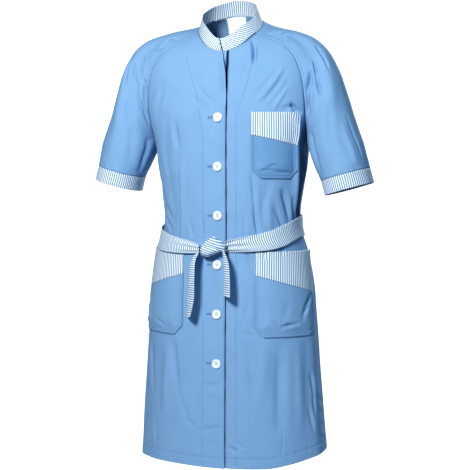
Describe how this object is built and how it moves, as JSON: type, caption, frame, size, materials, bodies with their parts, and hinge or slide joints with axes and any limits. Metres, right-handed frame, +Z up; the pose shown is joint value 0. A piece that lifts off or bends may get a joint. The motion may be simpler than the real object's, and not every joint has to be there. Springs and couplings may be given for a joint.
{
  "type": "work coat",
  "caption": "Hollow worn knee-length work coat with raglan short sleeves, stand collar, tie belt, patch pockets and a buttoned front.",
  "frame": {"origin": "inside the neck, level with the tops of the shoulders, where the wearer's shoulders hold the coat", "axes": "+Z up, -Y the front of the coat, +X the wearer's left"},
  "size_m": [0.593, 0.294, 0.956],
  "materials": {
    "blue_poplin": "plain woven cotton and polyester poplin, matt",
    "striped_poplin": "yarn-dyed poplin with narrow blue and white stripes, matt",
    "white_button": "polished white polyester",
    "white_label": "blank woven satin"
  },
  "bodies": {
    "root": {"front_right": "blue_poplin", "front_left": "blue_poplin", "back": "blue_poplin", "sleeve_right": "blue_poplin", "sleeve_left": "blue_poplin", "cuff_right": "striped_poplin", "cuff_left": "striped_poplin", "collar": "striped_poplin", "chest_pocket": "blue_poplin", "chest_pocket_band": "striped_poplin", "hip_pocket_left": "blue_poplin", "hip_pocket_left_band": "striped_poplin", "hip_pocket_right": "blue_poplin", "hip_pocket_right_band": "striped_poplin", "belt": "striped_poplin", "belt_knot": "striped_poplin", "belt_tail_right": "striped_poplin", "belt_tail_left": "striped_poplin", "button_1": "white_button", "button_2": "white_button", "button_3": "white_button", "button_4": "white_button", "button_5": "white_button", "button_6": "white_button", "neck_label": "white_label"}
  },
  "joints": []
}
